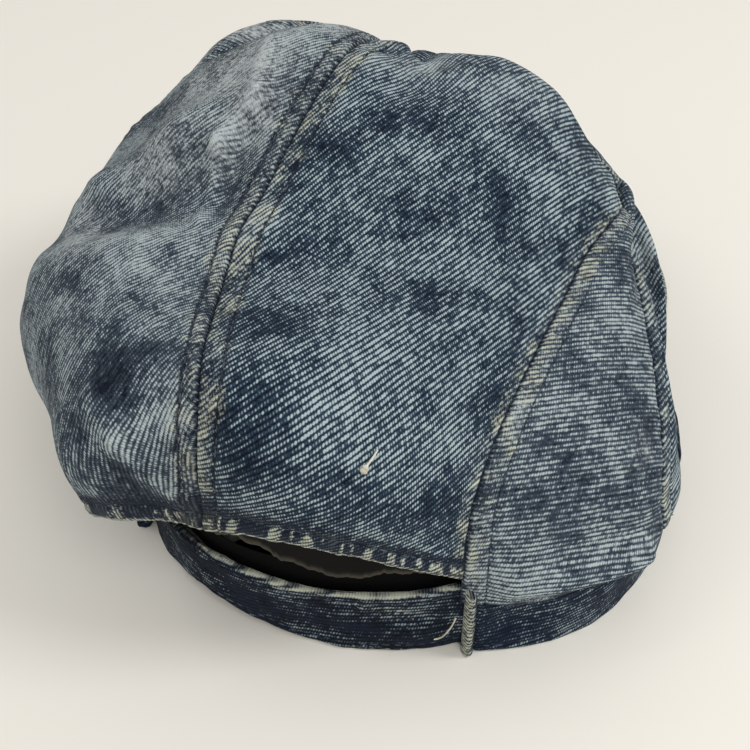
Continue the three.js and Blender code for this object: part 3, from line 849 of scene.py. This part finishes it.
def make_facing():
    shares, heights = np.meshgrid(np.linspace(0, 1, 200), np.linspace(0, 1, 26))
    around = FACING_FROM + (FACING_TO - FACING_FROM) * shares
    run = (around - FACING_FROM) * GORE_WIDTH
    ragged = 0.45 * ripple(run, 0 * run, 1.1, 61) + 0.6 * ripple(run, 0 * run, 5, 62)
    ends = np.minimum(1, np.minimum(shares, 1 - shares) / 0.06)
    drop = (np.interp(around, FACING_AT, FACING_DROP) + ragged) * ends
    along = opening_edge(around) + (-drop + heights * (drop + FACING_HEIGHT)) / GORE_LENGTH
    inset = FACING_INSET + 0.22 * drop * (1 - heights)
    wave = 0.4 * ripple(run, heights * 12, 6, 63)
    outer = crown_point(around, along, -inset - wave)
    inner = crown_point(around, along, -inset - FACING_THICKNESS - wave)
    raw_edge = np.clip(1.1 - heights * (drop + FACING_HEIGHT) / 1.5, 0, 1)
    cloth = np.stack([run, heights * 2 * FACING_HEIGHT], axis=-1)
    piece = tube_mesh("opening_facing", outer, inner, cloth, {"worn_and_shaded": raw_edge})
    # Its near-black body is painted shade; the grey raw edge is the cloth's own wear.
    piece.data.materials.append(plain_cotton("raw_edged_facing_shade_cotton", "#141312", "#6d685e"))
    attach(piece, "root")


def make_shade_lining():
    shares, heights = np.meshgrid(np.linspace(0, 1, 150), np.linspace(0, 1, 40))
    around = LINING_FROM + LINING_SPAN * shares
    run = (around - LINING_FROM) * GORE_WIDTH
    places = np.linspace(0, 1, len(LINING_SECTION))
    insets, levels = np.array(LINING_SECTION, dtype=float).T
    inset = np.interp(1 - heights, places, insets)
    level = np.interp(1 - heights, places, levels)
    wave = np.clip(ripple(run, heights * 30, 9, 65) * np.sin(np.pi * heights), 0, 1)
    outer = rim_point(around, level + 0.9 * wave, inset + 1.2 * wave)
    inner = outer + np.array([0.0, 0.0, -LINING_THICKNESS])
    inner[..., 2] = np.maximum(inner[..., 2], OFF_TABLE)
    cloth = np.stack([run, heights * LINING_FALL], axis=-1)
    piece = tube_mesh("shade_lining", outer, inner, cloth, {"worn_and_shaded": 0 * shares})
    # Near black as painted shade: it fills the dark inside the opening.
    piece.data.materials.append(plain_cotton("painted_shade_lining_cotton", "#0a0a0b", "#2a2723"))
    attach(piece, "root")


make_facing()
make_shade_lining()


# THE HEAD BAND
# A straight strip of the same denim, coloured darker, folded double and sewn to the lower edge
# of the gores. At each side of the back opening its end is rolled in and stitched down.

EDGE_STITCHES = (2.6, 17.4)  # heights of the two rows of stitching, in millimetres
BAND_FROM = 2.02
BAND_TO = 8.45
BAND_THICKNESS = 2.5
BAND_TOP = BAND_HEIGHT - 0.3
ROLL_TOP = BAND_HEIGHT + 4.5  # the rolled end stands up over the crown's corner

# Round the cap: the heights of the band's lower and upper edge, and how far the lower one is kicked out.
BAND_EDGES = (
    (BAND_FROM, 0, ROLL_TOP, 0),
    (BAND_FROM + 0.03, 0, ROLL_TOP, 0),
    (BAND_FROM + 0.08, 0, BAND_TOP, 0),
    (BAND_TO, 0, BAND_TOP, 0),
)


def rounded_edge(from_edge, thickness, fullness):
    """How far the faces of folded cloth draw together near its edge."""
    soft = np.clip(1 - from_edge / (thickness / 2), 0, 1)
    return thickness / 2 * (1 - np.sqrt(np.maximum(0, 1 - soft**2))) * fullness


def strip(name, edges, face, thickness, columns, rows, relief, wear_and_shade, lean):
    """A band of cloth on edge round the head: face is how far its outer side lies inside the rim line."""
    places, lows, highs, kicks = np.array(edges, dtype=float).T
    stretch = places[0] + (places[-1] - places[0]) * np.linspace(0, 1, columns)
    run = run_along(rim_point(stretch, np.zeros(columns), np.zeros(columns)))
    along, share = np.meshgrid(run, (1 - np.cos(np.linspace(0, np.pi, rows))) / 2)
    around = stretch + 0 * share
    low, high = np.interp(around, places, lows), np.interp(around, places, highs)
    kick = np.interp(around, places, kicks) * (1 - share)
    up = low + (high - low) * share
    near_edge = np.minimum(up - low, high - up)
    near_end = np.minimum(along, run[-1] - along)
    rounding = rounded_edge(np.minimum(near_edge, near_end), thickness, 0.96)
    level = share * BAND_HEIGHT
    outer = rim_point(around, up, face + rounding - relief(along, level, run[-1]) - kick)
    inner = rim_point(around, up, face + thickness - rounding - kick)
    piece = tube_mesh(name, outer, inner, on_grain(along, up, lean), wear_and_shade(along, level, run[-1]))
    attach(piece, "root")
    lines = [line_at(outer.transpose(1, 0, 2), level.T, place) for place in EDGE_STITCHES]
    return piece, lines


def band_relief(along, up, total):
    from_end = np.minimum(along, total - along)
    roll = 1.6 * np.sqrt(np.maximum(0, 1 - ((from_end - 1.3) / 1.5) ** 2))
    roll = np.where(from_end < 2.8, roll, 0)
    groove = -0.6 * bump(from_end, 3.1, 0.5)
    pucker = 0.35 * ripple(along, up, 3.0, 5) * np.exp(-(from_end / 14))
    dent = -1.6 * bump(from_end, 14, 9) * bump(up, 13, 8)
    rows = sum(-0.3 * bump(up, place, 0.4) for place in EDGE_STITCHES)
    waves = 0.4 * ripple(along, up * 0.3, 13, 8) + 0.2 * ripple(along, up, 5, 9)
    return roll + groove + pucker + dent + rows + waves


def band_wear(along, up, total):
    from_end = np.minimum(along, total - along)
    roll = 0.8 * plateau(along, 2.6)
    ink = 0.8 * bump(from_end, 3.2, 0.5) + sum(0.4 * bump(up, place, 0.35) for place in EDGE_STITCHES)
    return {"worn_and_shaded": 0.9 * bump(up, 0, 0.8) - 0.5, "bleach": np.clip(roll, 0, 1), "ink": np.clip(ink, 0, 1)}


band, band_lines = strip(
    "head_band_cloth",
    BAND_EDGES,
    face=0.0,
    thickness=BAND_THICKNESS,
    columns=620,
    rows=30,
    relief=band_relief,
    wear_and_shade=band_wear,
    lean=10,
)
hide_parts("head_band")
band_denim = washed_twill("darker_denim_twill", ink="#121a28", mid="#303b49", pale="#97a2a4", light=-0.05)
band.data.materials.append(band_denim)


# THE BACK STRAP
# A double strap of dark denim across the back opening, tucked inside both ends of the band. Its top edge
# has rubbed pale.

STRAP_THICKNESS = 2.4
STRAP_INSET = 3.0  # its outer face, inside the rim line

# Round the cap: the heights of the strap's lower and upper edge, and how far the lower one is kicked out.
STRAP_EDGES = (
    (0.36, 0, 19, 0),
    (0.6, 0, 19, 0),
    (0.7, 2.8, 19.5, 0),
    (0.85, 5.3, 20.5, 0),
    (1.0, 5.0, 21.8, 0),
    (1.2, 2.6, 21.2, 0),
    (1.4, 0.3, 19.6, 0.4),
    (1.55, 0, 19.2, 2.0),
    (1.8, 0, 20.2, 2.1),
    (2.0, 0, 23, 0.8),
    (2.2, 0, 22, 0),
)


def strap_relief(along, up, total):
    waves = 0.5 * ripple(along * 0.3, up, 6, 21) + 0.25 * ripple(along, up, 4, 22)
    return waves + sum(-0.35 * bump(up, place, 0.4) for place in EDGE_STITCHES)


def strap_wear(along, up, total):
    top = 0.85 * bump(up, BAND_HEIGHT, 0.9)
    foot = bump(up, 0, 0.9)
    streak = ripple(along * 0.12, up, 1.3, 23) + 0.8 * ripple(along * 0.25, up, 4.5, 24)
    rubbed = 0.5 + 0.5 * bump(along, 85, 45)
    body = np.clip(streak - 0.6, 0, 0.4)
    ink = np.clip(0.3 - 1.1 * streak, 0, 0.8) * (1 - top) * (1 - foot)
    ink = ink + sum(0.3 * bump(up, place, 0.4) for place in EDGE_STITCHES)
    worn_and_shaded = 1.2 * top - 0.3 + 0.7 * np.clip(streak, -0.5, 1)
    bleach = np.clip(rubbed * top + body + 0.5 * foot, 0, 1)
    return {"worn_and_shaded": worn_and_shaded, "bleach": bleach, "ink": np.clip(ink, 0, 1), "felted": 0.3 + 0 * up}


strap, strap_lines = strip(
    "back_strap_cloth",
    STRAP_EDGES,
    face=STRAP_INSET,
    thickness=STRAP_THICKNESS,
    columns=260,
    rows=28,
    relief=strap_relief,
    wear_and_shade=strap_wear,
    lean=4,
)
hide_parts("back_strap")
strap_denim = washed_twill(
    "dark_strap_denim", ink="#080d16", mid="#1e2937", pale="#8a979d", light=-0.25, clouds=1.2
)
strap.data.materials.append(strap_denim)


# THE PEAK
# A short stiffened peak over the forehead, covered in the crown's denim, with rows of stitching that
# follow its outer edge. Only the photograph's far side would show it, so it is a plain one.

PEAK_MIDDLE = 5.5
PEAK_HALF = 1.04
PEAK_REACH = 55
PEAK_SIDE = 3
PEAK_ROUNDNESS = 0.8
PEAK_THICKNESS = 3.2
PEAK_SEAT = 10  # height at which it leaves the band
PEAK_LIFT = 7  # how far the middle of its front edge stands off the table
PEAK_GAP = 0.3  # between its root and the band's outer face
PEAK_WIDTH = 150
PEAK_STITCHES = (4, 10, 16, 22, 28, 34)  # from the outer edge


def make_peak():
    sideways, outwards = np.meshgrid(np.linspace(-1, 1, 140), np.linspace(1, 0, 70))
    bow = np.maximum(np.cos(sideways * np.pi / 2), 0)
    full = PEAK_SIDE + PEAK_REACH * bow**PEAK_ROUNDNESS
    reach = outwards * full
    from_edge = full - reach
    front = PEAK_THICKNESS + PEAK_LIFT * bow**2
    top = PEAK_SEAT + (front - PEAK_SEAT) * outwards**PEAK_ROUNDNESS
    around = PEAK_MIDDLE + sideways * PEAK_HALF
    rounding = rounded_edge(from_edge, PEAK_THICKNESS, 0.94)
    rise = np.zeros(reach.shape)
    ink = np.zeros(reach.shape)
    for place in PEAK_STITCHES:
        rise -= 0.3 * bump(from_edge, place, 0.5)
        ink = np.maximum(ink, 0.6 * bump(from_edge, place, 0.45))
    rise += 0.15 * ripple(sideways * 70, reach, 5, 31)
    outer = rim_point(around, top - rounding + rise, -PEAK_GAP - reach)
    inner = rim_point(around, top - PEAK_THICKNESS + rounding, -PEAK_GAP - reach)
    look = {"worn_and_shaded": bump(from_edge, 0, 1.2), "bleach": 0.6 * plateau(from_edge, 3.5), "ink": ink}
    lines = [line_at(outer.transpose(1, 0, 2), from_edge.T, place) for place in PEAK_STITCHES]
    piece = tube_mesh("peak_cloth", outer, inner, on_grain(sideways * PEAK_WIDTH / 2, -reach, 52), look)
    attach(piece, "root")
    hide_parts("peak")
    piece.data.materials.append(crown_denim)
    return lines


peak_lines = make_peak()


# THE TOP BUTTON
# A domed button covered with a scrap of the band's denim, where the eight gores meet.

# From the top of its dome over the rim to the shank: radius and height in millimetres.
BUTTON_DOME = ((0, 4.5), (2, 4.4), (4, 4.05), (5.6, 3.45), (6.8, 2.7), (7.6, 1.8), (7.95, 0.9))
BUTTON_SHANK = ((7.6, 0), (6.2, -0.9), (4, -1.8), (1.5, -2.45), (0, -2.6))
BUTTON_RADIUS = 8
BUTTON_LIFT = 5.6
BUTTON_SLOPE_AT = 0.93  # it sits square to the cloth at this share of a gore's length
BUTTON_PLEATS = 9
BUTTON_TURNS = 96


def ring_mesh(name, points, turns, inside_out=False):
    """A round bar through rings of points, with a lid at each end."""
    faces = []
    last = len(points) - turns
    for low in range(0, last, turns):
        for i in range(turns):
            k = (i + 1) % turns
            faces.append((low + i, low + k, low + turns + k, low + turns + i))
    lids = [tuple(reversed(range(turns))), tuple(range(last, last + turns))]
    if inside_out:
        faces = [(face[0], *face[:0:-1]) for face in faces]
        lids = [lid[::-1] for lid in lids]
    mesh = bpy.data.meshes.new(name)
    mesh.from_pydata(points, [], faces + lids)
    mesh.polygons.foreach_set("use_smooth", np.ones(len(mesh.polygons), dtype=bool))
    return mesh


def make_button():
    axis = sum(cloth_normal(np.array([float(k)]), np.array([BUTTON_SLOPE_AT]))[0] for k in range(len(SEAMS)))
    axis /= np.linalg.norm(axis)
    side = np.cross(axis, (0.0, 0.0, 1.0))
    side /= np.linalg.norm(side)
    other = np.cross(axis, side)
    radius, height = np.array(BUTTON_DOME + BUTTON_SHANK).T[..., None]
    angle = np.linspace(0, 2 * np.pi, BUTTON_TURNS, endpoint=False)[None, :]
    radius = np.maximum(radius, 0.01)
    pleated = height < 2.5
    pleat = 0.25 * np.cos(angle * BUTTON_PLEATS) * np.clip(radius / BUTTON_RADIUS, 0, 1) * pleated
    r = radius + pleat
    points = np.array(polar(*BUTTON_SEAT)) + axis * BUTTON_LIFT
    points = points + side * (r * np.cos(angle))[..., None] + other * (r * np.sin(angle))[..., None]
    points = points + axis * (height + 0 * angle)[..., None]
    mesh = ring_mesh("top_button_cover", (points.reshape(-1, 3) * MM).tolist(), BUTTON_TURNS, inside_out=True)
    layer = mesh.uv_layers.new(name="cloth")
    cloth = np.stack([r * np.cos(angle), r * np.sin(angle) + height], axis=-1).reshape(-1, 2) * MM
    for loop in mesh.loops:
        layer.data[loop.index].uv = cloth[loop.vertex_index]
    for key in ("worn_and_shaded", "bleach", "ink"):
        mesh.attributes.new(key, "FLOAT", "POINT")
    mesh.update()
    piece = in_scene("top_button_cover", mesh)
    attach(piece, "root")
    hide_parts("top_button")
    piece.data.materials.append(band_denim)


make_button()


# THE STITCHING
# Strong navy cotton thread in lockstitch: a row beside each seam, one along the hem of the back opening,
# two on the band and the strap and six on the peak. Each stitch is a short soft bead lying in its groove.

STITCH_PITCH = 3.0
STITCH_LENGTH = 2.3
THREAD_THICKNESS = 0.45


def cotton_thread(name, dark, pale):
    """Twisted cotton: matt, with the dye worn off here and there along it."""
    material, tree = empty_material(name)
    place = add(tree, "ShaderNodeTexCoord")
    wear_and_shade = add(tree, "ShaderNodeTexNoise", {"Vector": place.outputs["Object"], "Scale": 260.0, "Detail": 2.0})
    sharp = {0: wear_and_shade, 1: 3.0, 2: -1.1}
    sharp = add(tree, "ShaderNodeMath", sharp, operation="MULTIPLY_ADD", use_clamp=True)
    colour = add(tree, "ShaderNodeMix", {0: sharp, 6: linear(dark), 7: linear(pale)}, data_type="RGBA")
    relief = add(tree, "ShaderNodeBump", {"Strength": 0.4, "Distance": 0.0001, "Height": wear_and_shade})
    finish = add(
        tree,
        "ShaderNodeBsdfPrincipled",
        {"Base Color": colour.outputs[2], "Roughness": 0.85, "Normal": relief, "Specular IOR Level": 0.2},
    )
    add(tree, "ShaderNodeOutputMaterial", {"Surface": finish})
    return material


def stitch_tree():
    tree = bpy.data.node_groups.new("stitch_rows", "GeometryNodeTree")
    tree.interface.new_socket("Seam lines", in_out="INPUT", socket_type="NodeSocketGeometry")
    for size in ("Pitch", "Stitch length", "Thread thickness"):
        tree.interface.new_socket(size, in_out="INPUT", socket_type="NodeSocketFloat")
    tree.interface.new_socket("Thread", in_out="INPUT", socket_type="NodeSocketMaterial")
    tree.interface.new_socket("Stitches", in_out="OUTPUT", socket_type="NodeSocketGeometry")
    given = add(tree, "NodeGroupInput").outputs
    curve = add(tree, "GeometryNodeMeshToCurve", {"Mesh": given["Seam lines"]})
    spaced = add(tree, "GeometryNodeResampleCurve", {"Curve": curve, "Length": given["Pitch"]}, mode="LENGTH")
    tangent = add(tree, "GeometryNodeInputTangent")
    turn = add(tree, "FunctionNodeAlignRotationToVector", {"Vector": tangent}, axis="Z")
    bead = add(tree, "GeometryNodeMeshUVSphere", {"Segments": 6, "Rings": 4, "Radius": 0.5})
    thick = given["Thread thickness"]
    size = add(tree, "ShaderNodeCombineXYZ", {0: thick, 1: thick, 2: given["Stitch length"]})
    uneven = add(tree, "FunctionNodeRandomValue", {2: 0.8, 3: 1.15, "Seed": 7}, data_type="FLOAT")
    scale = add(tree, "ShaderNodeVectorMath", {0: size, "Scale": uneven}, operation="SCALE")
    beads = {"Points": spaced, "Instance": bead, "Rotation": turn, "Scale": scale}
    stitched = add(tree, "GeometryNodeInstanceOnPoints", beads)
    real = add(tree, "GeometryNodeRealizeInstances", {"Geometry": stitched})
    smooth = add(tree, "GeometryNodeSetShadeSmooth", {"Geometry": real})
    dressed = add(tree, "GeometryNodeSetMaterial", {"Geometry": smooth, "Material": given["Thread"]})
    add(tree, "NodeGroupOutput", {"Stitches": dressed})
    return tree


def stitch_along(name, lines, tree, thread):
    """Lays stitches along lines of points and makes them a plain mesh."""
    points, edges = [], []
    for line in lines:
        first = len(points)
        points += (line * MM).tolist()
        edges += [(first + i, first + i + 1) for i in range(len(line) - 1)]
    mesh = bpy.data.meshes.new(name + "_lines")
    mesh.from_pydata(points, edges, [])
    piece = in_scene(name, mesh)
    rows = piece.modifiers.new("stitch_rows", "NODES")
    rows.node_group = tree
    sizes = {
        "Pitch": STITCH_PITCH * MM,
        "Stitch length": STITCH_LENGTH * MM,
        "Thread thickness": THREAD_THICKNESS * MM,
        "Thread": thread,
    }
    for socket in tree.interface.items_tree:
        if socket.in_out == "INPUT" and socket.name in sizes:
            rows[socket.identifier] = sizes[socket.name]
    bpy.context.view_layer.update()
    made = bpy.data.meshes.new_from_object(piece.evaluated_get(bpy.context.evaluated_depsgraph_get()))
    piece.modifiers.remove(rows)
    made.name = name
    piece.data = made
    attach(piece, "root")


stitches = stitch_tree()
navy_thread = cotton_thread("navy_cotton_thread", "#161e2a", "#5b6670")
stitch_along("crown_stitching", crown_lines, stitches, navy_thread)
stitch_along("band_stitching", band_lines, stitches, navy_thread)
stitch_along("strap_stitching", strap_lines, stitches, navy_thread)
stitch_along("peak_stitching", peak_lines, stitches, navy_thread)


# THE LOOSE THREAD ENDS
# Two ends of undyed sewing thread: a knotted one that stands out of the middle back gore, and one that
# lies over the strap beside the band's rolled end.

KNOT = ((0.6, 0.75, 0.55), (1.5, 0.6, 0.4))  # along the thread, size and spread of each lump, in millimetres
END_RADIUS = 0.22
END_TURNS = 12
END_STEPS = 40


def thread_end(name, path, lumps):
    """A short round thread through a few points, thicker where it is knotted."""
    corners = np.array(path)
    line = smooth_between(corners[:, None, :], np.linspace(0, len(corners) - 1, END_STEPS))[:, 0]
    run = run_along(line)
    radius = END_RADIUS + sum(size * bump(run, place, spread) for place, size, spread in lumps)
    radius = radius * np.sqrt(np.clip(np.minimum(run + 0.05, run[-1] + 0.05 - run) / 0.2, 0, 1))
    way = np.gradient(line, axis=0)
    way /= np.linalg.norm(way, axis=1, keepdims=True)
    side = np.cross(way, (0.3, 0.2, 1.0))
    side /= np.linalg.norm(side, axis=1, keepdims=True)
    other = np.cross(way, side)
    angles = np.arange(END_TURNS) * 2 * np.pi / END_TURNS
    points = []
    for at, x, y, r in zip(line, side, other, radius):
        points += [tuple((at + r * (x * math.cos(a) + y * math.sin(a))) * MM) for a in angles]
    mesh = ring_mesh(name, points, END_TURNS)
    mesh.materials.append(undyed_thread)
    piece = in_scene(name, mesh)
    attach(piece, "root")


def on_crown(around, along, rise):
    return crown_point(np.array([around]), np.array([along]), np.array([rise]))[0]


def on_strap(around, height, inset):
    return rim_point(np.array([around]), np.array([height]), np.array([inset]))[0]


# In gores round the cap, share of the length, and millimetres above the cloth.
KNOTTED_END = ((1.515, 0.152, 0.5), (1.521, 0.158, 0.8), (1.529, 0.165, 1.2), (1.536, 0.172, 1.6))
# In gores round the cap, height, and millimetres inside the rim line.
STRAP_END = ((1.90, 5, 1.0), (1.935, 6.2, 0.9), (1.97, 9.5, 1.2), (1.99, 13, 1.5))

undyed_thread = cotton_thread("undyed_cotton_thread", "#b9b4a2", "#e6e2d2")
thread_end("knotted_thread_end", [on_crown(*place) for place in KNOTTED_END], KNOT)
thread_end("strap_thread_end", [on_strap(*place) for place in STRAP_END], ())


# THE TABLE, THE LIGHT AND THE CAMERA
# The cap lies on a plain off-white table in soft daylight from above and from the right.

TABLE_HALF = 15  # metres
ROOM_STRENGTH = 0.54
LIGHTS_AIM = (0.01, -0.01, 0.04)
# Each light: where it hangs and its width, in metres, and its power in watts.
LIGHTS = {
    "room_light": ((-0.6, 0.9, 1.35), 0.9, 6.5),
    "window_light": ((-1.05, -0.15, 1.1), 0.45, 6.6),
    "far_light": ((1.2, 0.1, 1.5), 0.7, 2.5),
}
CAMERA_AT = (-0.0689, 0.2437, 0.252)
CAMERA_AIM = (0.0199, -0.0218, 0.0)

corners = [(x * TABLE_HALF, y * TABLE_HALF, 0) for x, y in ((-1, -1), (1, -1), (1, 1), (-1, 1))]
mesh = bpy.data.meshes.new("table_top")
mesh.from_pydata(corners, [], [(0, 1, 2, 3)])
table_top = in_scene("table_top", mesh)
paint = bpy.data.materials.new("off_white_paint")
paint.use_nodes = True
surface = paint.node_tree.nodes["Principled BSDF"]
surface.inputs["Base Color"].default_value = linear("#f9f5ec")
surface.inputs["Roughness"].default_value = 0.7
surface.inputs["Specular IOR Level"].default_value = 0.2
mesh.materials.append(paint)

world = bpy.data.worlds.new("room")
bpy.context.scene.world = world
world.use_nodes = True
world.node_tree.nodes["Background"].inputs["Color"].default_value = (1.0, 0.985, 0.96, 1.0)
world.node_tree.nodes["Background"].inputs["Strength"].default_value = ROOM_STRENGTH


def aim(item, place, target):
    item.location = place
    way = np.array(target) - np.array(place)
    yaw = math.atan2(way[1], way[0]) - math.pi / 2
    pitch = math.atan2(way[2], math.hypot(way[0], way[1])) + math.pi / 2
    item.rotation_euler = (pitch, 0, yaw)


for name, (place, width, power) in LIGHTS.items():
    lamp = bpy.data.lights.new(name, "AREA")
    lamp.shape = "DISK"
    lamp.size = width
    lamp.energy = power
    aim(in_scene(name, lamp), place, LIGHTS_AIM)

lens = bpy.data.cameras.new("photo_camera")
lens.lens = 55.4
lens.sensor_width = 36
camera = in_scene("photo_camera", lens)
aim(camera, CAMERA_AT, CAMERA_AIM)
bpy.context.scene.camera = camera
bpy.context.scene.view_settings.view_transform = "Standard"
